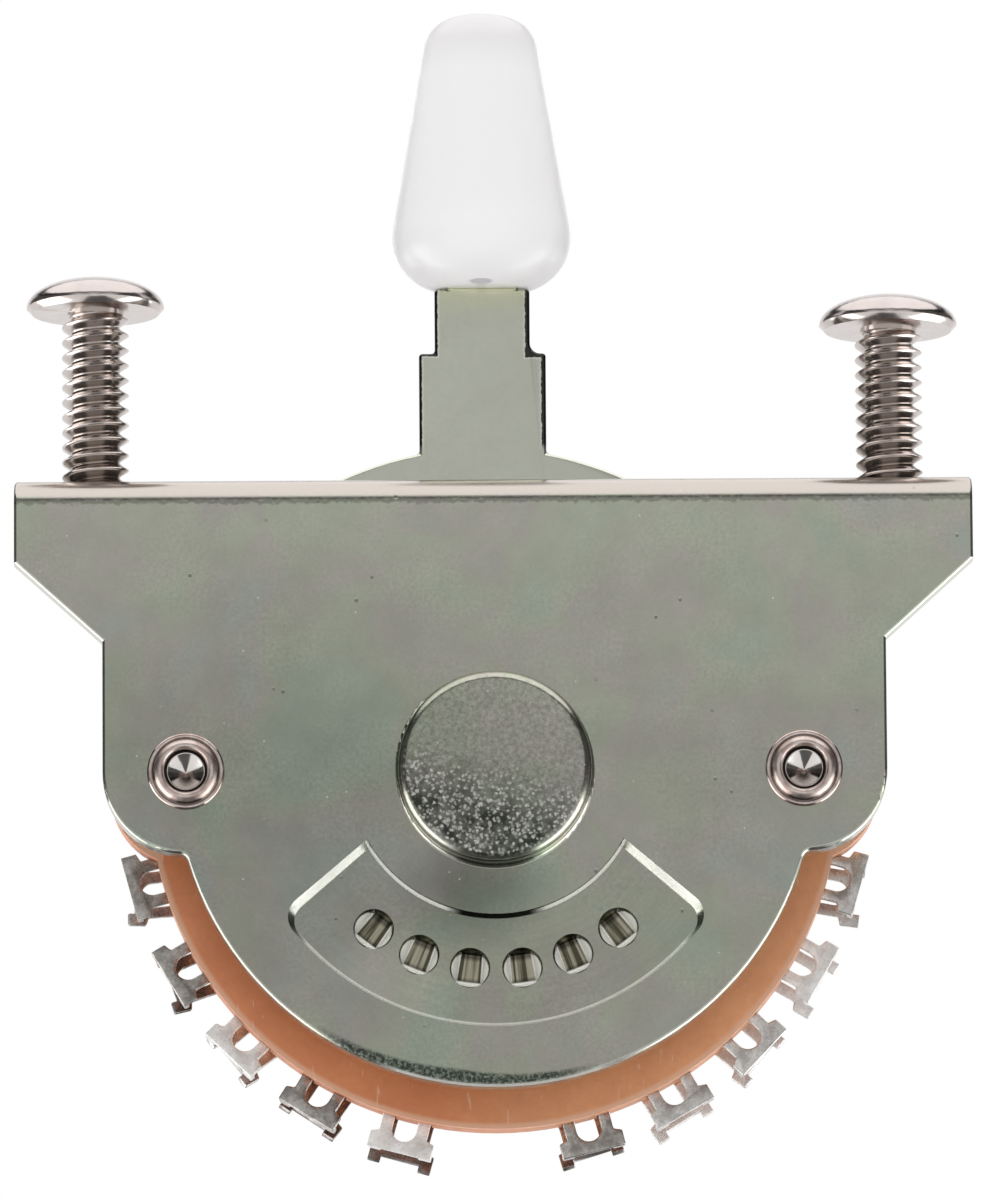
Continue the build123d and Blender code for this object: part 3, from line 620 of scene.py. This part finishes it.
def rivet_finish():
    """Rosy metal with painted shade along the seam and in a ring round the cone, and a painted lit half
    and unlit half in it.
    """
    paint = Finish("rivet_metal")
    x, y, z = paint.split(paint.mm)
    height = paint.add(z, PIVOT_DROP)
    radius = paint.length(paint.less(paint.size(x), RIVET_X), 0.0, height)
    front = paint.remap(y, PLATE_FRONT + 0.6, PLATE_FRONT + 0.4)
    clouds = paint.remap(paint.noise(1.2, 3, 0.6), 0.40, 0.60)
    colour = paint.mix(clouds, (0.74, 0.64, 0.59), (0.52, 0.41, 0.37))
    # painted shade in the groove round the cone and along the seam
    inner_groove_shade = paint.times(paint.band(radius, 0.0, 0.985, 1.02, 1.09, 1.13), front)
    seam = paint.times(paint.band(radius, 0.0, 1.64, 1.68, 1.76, 1.80), front, 0.8)
    colour = paint.mix(inner_groove_shade, colour, grey(0.02))
    colour = paint.mix(seam, colour, (0.07, 0.05, 0.045))
    # painted light and shade: a lit upper half and an unlit lower half in the cone
    in_cone = paint.times(paint.remap(radius, 0.97, 0.93), front)
    below = paint.remap(height, 0.02, -0.08)
    cone = paint.mix(below, (0.70, 0.67, 0.64), (0.30, 0.27, 0.245))
    ring = paint.times(paint.band(radius, 0.0, 1.13, 1.18, 1.60, 1.66), front)
    shine = paint.remap(paint.noise(4.0, 3), 0.3, 0.7, 0.10, 0.18)
    paint.set(
        Base_Color=paint.mix(in_cone, colour, cone),
        Metallic=1.0,
        Roughness=paint.add(shine, paint.times(ring, 0.20)),
    )
    paint.bump(paint.noise(5.0, 3, 0.6), 0.2, 0.012)
    return paint.material


def dark_plastic_finish():
    paint = Finish("rotor_plastic")
    clouds = paint.remap(paint.noise(0.5, 3), 0.3, 0.7)
    paint.set(
        Base_Color=paint.mix(clouds, (0.030, 0.026, 0.022), (0.055, 0.048, 0.040)),
        Roughness=paint.remap(paint.noise(3.0, 3), 0.3, 0.7, 0.32, 0.50),
    )
    paint.bump(paint.noise(6.0, 3), 0.15, 0.01)
    return paint.material


FINISH = {
    "zinc_sheet": zinc_finish(),
    "lever_sheet": lever_finish(),
    "tip_plastic": tip_finish(),
    "nickel": screw_finish(),
    "rivet_metal": rivet_finish(),
    "shaft_metal": steel_finish("shaft_steel", (0.58, 0.58, 0.56), (0.44, 0.44, 0.43), 0.20, 0.30),
    "spring_steel": steel_finish(
        "spring_steel", (0.62, 0.62, 0.62), (0.48, 0.48, 0.50), 0.16, 0.26, (0.3, 1, 1)
    ),
    "rotor_plastic": dark_plastic_finish(),
    "brown_board": board_finish(),
    "tube_metal": steel_finish(
        "spacer_tube", (0.66, 0.66, 0.65), (0.52, 0.52, 0.52), 0.22, 0.34, (1, 0.3, 1)
    ),
    "lug_metal": lug_finish("tinned_lug", (0.74, 0.73, 0.70), (0.52, 0.50, 0.48), 0.70),
    "blade_metal": steel_finish(
        "contact_blade", (0.78, 0.62, 0.36), (0.60, 0.46, 0.26), 0.18, 0.32
    ),
}
# lit and shaded copies of the tinned finish, as painted light and shade on the lugs
LUG_LIGHT_AND_SHADE = {
    "mid": FINISH["lug_metal"],
    "grey": lug_finish("tinned_lug_shaded", (0.54, 0.51, 0.48), (0.30, 0.28, 0.26), 0.85),
    "bright": lug_finish("tinned_lug_lit", (0.93, 0.92, 0.90), (0.74, 0.725, 0.70), 0.20),
    "dark": lug_finish("tinned_lug_deep_shade", (0.38, 0.35, 0.33), (0.20, 0.185, 0.175), 0.85),
}
for name, node in nodes.items():
    node.data.materials.clear()
    node.data.materials.append(FINISH[slot_of_node[name]])


# Pieces that stand in the place of CAD nodes, with their welding gaps in metres
WELD_GAP = 1e-7
THREAD_WELD_GAP = 1e-6
FLAT_ANGLE = 0.3


def add_piece(name, mesh, node, material=None):
    """A finer piece that replaces a CAD node and moves with its body."""
    piece = bpy.data.objects.new(name, mesh)
    scene.collection.objects.link(piece)
    mesh.materials.clear()
    mesh.materials.append(material or FINISH[slot_of_node[node]])
    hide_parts(node)
    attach(piece, body_of_node[node])
    return piece


def clean_copy(node):
    """The node's own solid as a welded mesh with whole flat faces."""
    work = bmesh.new()
    work.from_mesh(nodes[node].data)
    bmesh.ops.remove_doubles(work, verts=work.verts, dist=WELD_GAP)
    bmesh.ops.dissolve_limit(
        work,
        angle_limit=radians(FLAT_ANGLE),
        verts=work.verts,
        edges=work.edges,
        delimit=set(),
    )
    return work


def finish_mesh(work, name):
    mesh = bpy.data.meshes.new(name)
    work.to_mesh(mesh)
    work.free()
    return mesh


def cut_away(work, point, direction):
    """Removes what lies past a plane, and closes the cut."""
    geometry = work.verts[:] + work.edges[:] + work.faces[:]
    bmesh.ops.bisect_plane(
        work, geom=geometry, plane_co=point, plane_no=direction, clear_outer=True
    )
    close_holes(work)


def close_holes(work):
    rim = [edge for edge in work.edges if len(edge.link_faces) == 1]
    bmesh.ops.holes_fill(work, edges=rim, sides=0)


def join_in(work, other, name):
    """Moves the other working mesh's faces into this one."""
    part = finish_mesh(other, name)
    work.from_mesh(part)
    bpy.data.meshes.remove(part)


def smooth(mesh, angle):
    for face in mesh.polygons:
        face.use_smooth = True
    mesh.set_sharp_from_angle(angle=radians(angle))


def break_edges(piece, width, segments):
    """Rounds the edges of a sheet piece by a width in millimetres."""
    for face in piece.data.polygons:
        face.use_smooth = True
    bevel = piece.modifiers.new("edge_break", "BEVEL")
    bevel.width = width * MM
    bevel.segments = segments
    bevel.limit_method = "ANGLE"
    bevel.angle_limit = radians(30)
    bevel.harden_normals = True
    bevel.use_clamp_overlap = True


# Lever with the rounded edges of sheet metal
lever = add_piece("lever_rolled", finish_mesh(clean_copy("lever"), "lever_rolled"), "lever")
break_edges(lever, 0.22, 3)

# Leaf spring as a smooth-shaded copy of the solid; the real spring flattens back against the lever's
# tail as its nose rides over the bumps
leaf_mesh = finish_mesh(clean_copy("detent_spring"), "leaf_spring")
leaf = add_piece("leaf_spring", leaf_mesh, "detent_spring")
smooth(leaf.data, 30)
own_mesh(leaf)

# Machine screws with the solid's head and neck and a real thread below, in millimetres
THREAD_PITCH = 0.794
THREAD_MAJOR = 1.75
THREAD_MINOR = 1.27
THREAD_FADE = 1.6
NECK = 0.12
THREAD_LAP = 0.05
POINT = 0.4
SCREW_LENGTH = 12.7
LEFT_LIFT = 9.4
RIGHT_LIFT = 8.27
# each row is a share of the pitch and a radius, from the root over the rounded crest and down again
THREAD_PROFILE = (
    (0.0, THREAD_MINOR),
    (0.07, 1.28),
    (0.15, 1.34),
    (0.38, 1.64),
    (0.45, 1.72),
    (0.52, THREAD_MAJOR),
    (0.59, 1.72),
    (0.66, 1.64),
    (0.89, 1.34),
    (0.97, 1.28),
)


def thread_point(x, top, bottom, turns, angle, radius):
    """A point of the thread, kept between its ends, inside its point and under its run-out."""
    z = min(max(bottom + turns * THREAD_PITCH, bottom), top)
    pointed = THREAD_MAJOR - POINT + z - bottom
    faded = THREAD_MINOR + (top - z) * THREAD_FADE
    radius = min(radius, pointed, faded)
    return (x + radius * cos(angle)) * MM, radius * sin(angle) * MM, z * MM


def thread(x, top, bottom, around=48):
    """A one-start helix from bottom to top, tapered to a point at the bottom."""
    work = bmesh.new()
    steps = len(THREAD_PROFILE)
    rows = int((top - bottom) / THREAD_PITCH + 2) * steps
    grid = []
    for j in range(rows):
        turn, k = divmod(j, steps)
        share, radius = THREAD_PROFILE[k]
        row = []
        for i in range(around):
            part = i / around
            turns = turn - 1 + share + part
            point = thread_point(x, top, bottom, turns, 2 * pi * part, radius)
            row.append(work.verts.new(point))
        grid.append(row)
    for j in range(rows - 1):
        for i in range(around):
            after = (i + 1) % around
            # past the seam the same strand is one whole turn further up the grid
            shift = steps if after == 0 else 0
            if j + 1 + shift >= rows:
                continue
            near = (grid[j][i], grid[j + 1][i])
            far = (grid[j + shift][after], grid[j + 1 + shift][after])
            quad = [near[0], far[0], far[1], near[1]]
            heights = [vert.co.z for vert in quad]
            if max(heights) - min(heights) > WELD_GAP:
                work.faces.new(quad)
    loose = [vert for vert in work.verts if not vert.link_faces]
    bmesh.ops.delete(work, geom=loose, context="VERTS")
    bmesh.ops.remove_doubles(work, verts=work.verts, dist=THREAD_WELD_GAP)
    close_holes(work)
    bmesh.ops.recalc_face_normals(work, faces=work.faces)
    return work


for side, x, lift in (("left", -SCREW_X, LEFT_LIFT), ("right", SCREW_X, RIGHT_LIFT)):
    work = clean_copy("mounting_screw_" + side)
    cut_away(work, (0, 0, (lift - NECK) * MM), (0, 0, -1))
    helix = thread(x, lift - THREAD_LAP, lift - SCREW_LENGTH)
    join_in(work, helix, "thread_" + side)
    mesh = finish_mesh(work, "machine_screw_" + side)
    smooth(mesh, 32)
    add_piece("machine_screw_" + side, mesh, "mounting_screw_" + side)

# Rivets with the solid's shank and tail and a front that is turned anew
RIVET_CUT = 1.0
# each row is a radius and a depth behind the plate's front: curled flange, rolled ring, pressed cone
RIVET_FRONT = (
    (0.0, RIVET_CUT + 0.02),
    (1.2, RIVET_CUT + 0.02),
    (1.2, 0.0),
    (2.0, 0.0),
    (2.0, -0.06),
    (1.985, -0.11),
    (1.95, -0.155),
    (1.90, -0.18),
    (1.84, -0.185),
    (1.78, -0.165),
    (1.72, -0.15),
    (1.68, -0.20),
    (1.64, -0.29),
    (1.56, -0.39),
    (1.46, -0.46),
    (1.36, -0.495),
    (1.27, -0.49),
    (1.19, -0.44),
    (1.13, -0.34),
    (1.10, -0.20),
    (1.09, 0.02),
    (1.03, 0.02),
    (1.02, -0.06),
    (0.99, -0.10),
    (0.95, -0.11),
    (0.90, -0.08),
    (0.06, 0.55),
    (0.0, 0.57),
)


def turned(x, profile, around=72):
    """A solid turned about the line along Y through (x, pivot height)."""
    work = bmesh.new()
    rows = []
    for radius, depth in profile:
        y = (PLATE_FRONT + depth) * MM
        angles = [2 * pi * i / around for i in range(around if radius else 1)]
        row = []
        for angle in angles:
            point = (x + radius * cos(angle)) * MM, y, PIVOT.z + radius * sin(angle) * MM
            row.append(work.verts.new(point))
        rows.append(row)
    for one, two in zip(rows, rows[1:]):
        for i in range(around):
            after = (i + 1) % around
            places = ((one, i), (one, after), (two, after), (two, i))
            corners = [row[k % len(row)] for row, k in places]
            work.faces.new(list(dict.fromkeys(corners)))
    bmesh.ops.recalc_face_normals(work, faces=work.faces)
    return work


for side, x in (("left", -RIVET_X), ("right", RIVET_X)):
    work = clean_copy("rivet_" + side)
    cut_away(work, (0, (PLATE_FRONT + RIVET_CUT) * MM, 0), (0, -1, 0))
    join_in(work, turned(x, RIVET_FRONT), "rivet_front_" + side)
    mesh = finish_mesh(work, "rivet_rolled_" + side)
    smooth(mesh, 50)
    add_piece("rivet_rolled_" + side, mesh, "rivet_" + side)

# Solder lugs with softened edges, each bent a little its own way outside the wafer and given its own
# painted light and shade
COMMON_ANGLE = 105.0
BEND_GAP = 0.05
UNEVEN_LEAN = 1.5
UNEVEN_TWIST = 4.0
# painted tone of light and shade of each throw lug, its lean back and its swing about the pivot's line
# in degrees
LUG_LOOKS = {
    "front_throw_lug_left_5": ("grey", 0, 0),
    "front_throw_lug_left_4": ("grey", 2, -1),
    "front_throw_lug_left_3": ("bright", -3, 0),
    "front_throw_lug_left_2": ("grey", 0, 2),
    "front_throw_lug_left_1": ("bright", 3, 0),
    "front_throw_lug_right_5": ("mid", -2, 1),
    "front_throw_lug_right_4": ("bright", 0, 0),
    "front_throw_lug_right_3": ("mid", 3, -2),
    "front_throw_lug_right_2": ("mid", -2, 0),
    "front_throw_lug_right_1": ("grey", 2, 1),
    "rear_throw_lug_left_5": ("mid", -10, 15),
    "rear_throw_lug_left_4": ("dark", -18, 13),
    "rear_throw_lug_left_3": ("mid", -26, 9),
    "rear_throw_lug_left_2": ("dark", -30, 5),
    "rear_throw_lug_left_1": ("dark", -12, 0),
    "rear_throw_lug_right_5": ("mid", -4, -7),
    "rear_throw_lug_right_4": ("bright", 2, 0),
    "rear_throw_lug_right_3": ("bright", -20, -5),
    "rear_throw_lug_right_2": ("bright", -10, -1),
    "rear_throw_lug_right_1": ("grey", -30, 0),
}


def lug_angle(node):
    """Angle of a lug from straight down, in degrees."""
    side = -1 if "_left" in node else 1
    return side * (COMMON_ANGLE if "common" in node else DIMPLE_STEP * int(node[-1]))


def uneven(seed, spread):
    """An odd amount within the spread, the same on every run."""
    return sin(seed * 12.9898 + 4.1) * spread


def bend_outside(work, node, count):
    """Leans, swings and twists what stands out past the wafer's edge, and gives the lug's copy of the
    finish with its painted light and shade.
    """
    tone, lean_back, swing = LUG_LOOKS.get(node, ("mid", 0, 0))
    angle = radians(lug_angle(node))
    out = Vector((sin(angle), 0, -cos(angle)))
    across = Vector((cos(angle), 0, sin(angle)))
    edge = (WAFER_RADIUS + BEND_GAP) * MM
    outside = [vert for vert in work.verts if (vert.co - PIVOT).dot(out) > edge]
    middle = sum(vert.co.y for vert in outside) / len(outside)
    root = PIVOT + out * edge + Vector((0, middle, 0))
    lean = Quaternion(across, radians(lean_back + uneven(count, UNEVEN_LEAN)))
    twist = Quaternion(out, radians(uneven(count + 50, UNEVEN_TWIST)))
    turn = lean @ Quaternion((0, 1, 0), radians(swing)) @ twist
    for vert in outside:
        vert.co = root + turn @ (vert.co - root)
    return LUG_LIGHT_AND_SHADE[tone]


lug_nodes = sorted(name for name in nodes if "_lug_" in name)
for count, node in enumerate(lug_nodes):
    work = clean_copy(node)
    tone = bend_outside(work, node, count)
    lug = add_piece(node + "_bent", finish_mesh(work, node + "_bent"), node, tone)
    break_edges(lug, 0.08, 2)

for name in ("frame", "lever_tip"):
    smooth(nodes[name].data, 30)

# Camera, which looks up at the switch a little, with the photo's scale in pixels per millimetre
PHOTO_HEIGHT = 1200
PHOTO_SCALE = 19.26
AIM = Vector((-0.05, 0, -5.86)) * MM
AZIMUTH = radians(-0.3)
ELEVATION = radians(-10.5)
ROLL = radians(-0.38)
DISTANCE = 0.8
SENSOR = 36
seen_height = PHOTO_HEIGHT / PHOTO_SCALE * MM
back = Vector(
    (sin(AZIMUTH) * cos(ELEVATION), -cos(AZIMUTH) * cos(ELEVATION), sin(ELEVATION))
)
camera = bpy.data.objects.new("camera", bpy.data.cameras.new("camera"))
scene.collection.objects.link(camera)
camera.location = AIM + back * DISTANCE
camera.rotation_mode = "QUATERNION"
camera.rotation_quaternion = (-back).to_track_quat("-Z", "Y") @ Quaternion((0, 0, 1), ROLL)
camera.data.sensor_width = SENSOR
camera.data.lens = SENSOR * DISTANCE / seen_height
camera.data.clip_start = 0.01
camera.data.clip_end = 50
scene.camera = camera


# Stage and light, in metres
FLOOR = -0.45
FLOOR_HALF = 4.0
FLOOR_GLOW = 0.85
CARD_HEIGHT = -0.13


def plain_material(name, value, roughness):
    material = bpy.data.materials.new(name)
    material.use_nodes = True
    shader = material.node_tree.nodes["Principled BSDF"]
    shader.inputs["Base Color"].default_value = grey(value) + (1,)
    shader.inputs["Roughness"].default_value = roughness
    return material


def stage_plane(name, low, high, z, material):
    """A level plane between two corners."""
    (left, near), (right, far) = low, high
    corners = [(left, near, z), (right, near, z), (right, far, z), (left, far, z)]
    mesh = bpy.data.meshes.new(name)
    mesh.from_pydata(corners, [], [(0, 1, 2, 3)])
    mesh.materials.append(material)
    plane = bpy.data.objects.new(name, mesh)
    scene.collection.objects.link(plane)
    return plane


def pale_floor():
    """A floor that shows white to the eye and in metal, and is clear from underneath."""
    material = plain_material("pale_floor", 0.86, 0.8)
    tree = Tree(material.node_tree)
    matt = tree.nodes["Principled BSDF"].outputs[0]
    glow = tree.nodes.new("ShaderNodeEmission")
    glow.inputs["Color"].default_value = (1, 1, 1, 1)
    shown = tree.seen_in("Is Camera Ray", "Is Glossy Ray", "Is Transmission Ray")
    upper = tree.mixed_shader(tree.times(shown, FLOOR_GLOW), matt, glow.outputs[0])
    clear = tree.nodes.new("ShaderNodeBsdfTransparent")
    underneath = tree.nodes.new("ShaderNodeNewGeometry").outputs["Backfacing"]
    surface = tree.mixed_shader(underneath, upper, clear.outputs[0])
    tree.links.new(surface, tree.nodes["Material Output"].inputs[0])
    return material


stage_plane("floor", (-FLOOR_HALF, -FLOOR_HALF), (FLOOR_HALF, FLOOR_HALF), FLOOR, pale_floor())
# a dark card under the object, which its downward faces mirror
card_material = plain_material("dark_card", 0.10, 0.9)
card = stage_plane("card_below", (-0.06, -0.22), (0.06, 0.16), CARD_HEIGHT, card_material)
card.visible_camera = False
card.visible_shadow = False


def studio_world():
    """Grey in front, dark flags at both sides, bright overhead, and a white backdrop behind."""
    world = bpy.data.worlds.new("studio")
    scene.world = world
    world.use_nodes = True
    tree = Tree(world.node_tree)
    direction = tree.nodes.new("ShaderNodeTexCoord").outputs["Generated"]
    x, y, z = tree.split(direction)
    behind = tree.remap(y, 0.72, 0.80, smooth=True)
    above = tree.remap(z, 0.665, 0.70, smooth=True)
    under_lamp = tree.remap(z, 0.49, 0.54, 1.0, 0.08, smooth=True)
    aside = tree.remap(tree.size(x), 0.50, 0.70, 0.58, 0.09, smooth=True)
    walls = tree.times(aside, under_lamp)
    studio = tree.nodes["Background"]
    tree.feed(studio.inputs["Strength"], tree.most(walls, behind, tree.times(above, 1.4)))
    tree.feed(studio.inputs["Color"], tree.mix(above, (1, 1, 1), (1.0, 0.98, 0.99)))
    white = tree.nodes.new("ShaderNodeBackground")
    white.inputs["Color"].default_value = (1, 1, 1, 1)
    to_eye = tree.seen_in("Is Camera Ray")
    surface = tree.mixed_shader(to_eye, studio.outputs[0], white.outputs[0])
    tree.links.new(surface, tree.nodes["World Output"].inputs[0])


def softbox(name, at, size, level, in_metal=True):
    """A soft lamp that faces the object, as bright as a white wall times its level."""
    data = bpy.data.lights.new(name, "AREA")
    data.shape = "RECTANGLE"
    data.size, data.size_y = size
    data.energy = level * pi * size[0] * size[1]
    lamp = bpy.data.objects.new(name, data)
    scene.collection.objects.link(lamp)
    lamp.location = at
    lamp.rotation_mode = "QUATERNION"
    lamp.rotation_quaternion = (PIVOT - Vector(at)).to_track_quat("-Z", "Y")
    lamp.visible_camera = False
    lamp.visible_glossy = in_metal


studio_world()
softbox("lamp_front", (0.0, -0.60, 0.10), (0.6, 0.6), 0.75, in_metal=False)
softbox("lamp_top", (0.0, -0.30, 0.55), (0.6, 0.3), 1.2, in_metal=False)
softbox("lamp_low_left", (-0.40, 0.0, -0.25), (0.45, 0.40), 2.4)
softbox("lamp_low_right", (0.38, 0.0, -0.28), (0.45, 0.38), 2.4)

scene.view_settings.view_transform = "Standard"
